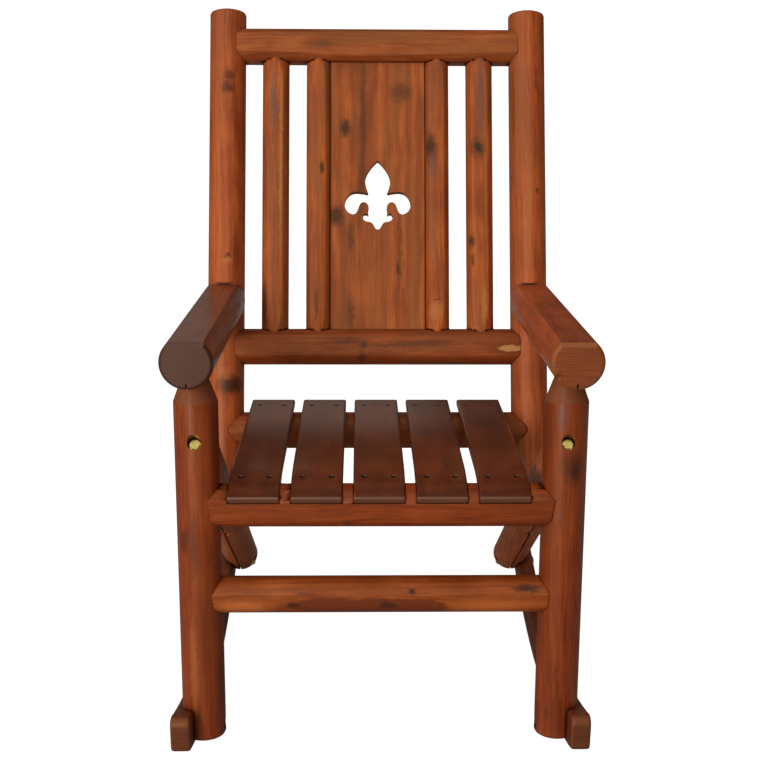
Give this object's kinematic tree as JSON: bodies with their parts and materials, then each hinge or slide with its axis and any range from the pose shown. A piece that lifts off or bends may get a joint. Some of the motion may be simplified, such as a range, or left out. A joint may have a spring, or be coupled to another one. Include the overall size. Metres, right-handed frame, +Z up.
{
  "type": "log rocking chair",
  "caption": "High-back log rocking chair with flat-topped arms, a board and spindle back with a fleur-de-lis cut-out, a slatted seat and curved plank rockers",
  "frame": {"origin": "middle of the chair's width and depth, on the floor", "axes": "+X to the right of someone who looks at the chair's front, +Y towards its back, +Z up; the front faces -Y"},
  "size_m": [0.634, 0.827, 1.1261],
  "materials": {
    "post_wood": "satin varnish",
    "leg_wood": "satin varnish",
    "arm_wood": "satin varnish",
    "rocker_wood": "satin varnish",
    "rail_wood": "satin varnish",
    "spindle_wood": "satin varnish",
    "panel_wood": "satin varnish",
    "slat_wood": "satin varnish",
    "zinc_plated_steel": "yellow zinc plating",
    "screw_steel": "dull zinc plating"
  },
  "bodies": {
    "root": {"front_post_left": "post_wood", "front_post_right": "post_wood", "rear_leg_left": "leg_wood", "rear_leg_right": "leg_wood", "back_post_left": "post_wood", "back_post_right": "post_wood", "arm_left": "arm_wood", "arm_right": "arm_wood", "rocker_left": "rocker_wood", "rocker_right": "rocker_wood", "seat_front_rail": "rail_wood", "seat_rear_rail": "rail_wood", "front_stretcher": "rail_wood", "back_rail_top": "rail_wood", "back_rail_bottom": "rail_wood", "back_spindle_1": "spindle_wood", "back_spindle_2": "spindle_wood", "back_spindle_3": "spindle_wood", "back_spindle_4": "spindle_wood", "back_panel": "panel_wood", "seat_slat_1": "slat_wood", "seat_slat_2": "slat_wood", "seat_slat_3": "slat_wood", "seat_slat_4": "slat_wood", "seat_slat_5": "slat_wood", "leg_bolts": "zinc_plated_steel", "back_post_bolts": "zinc_plated_steel", "arm_bolts": "zinc_plated_steel", "rocker_bolts": "zinc_plated_steel", "washers": "zinc_plated_steel", "barrel_nuts": "zinc_plated_steel", "rocker_nuts": "zinc_plated_steel", "seat_screws": "screw_steel"}
  },
  "joints": []
}
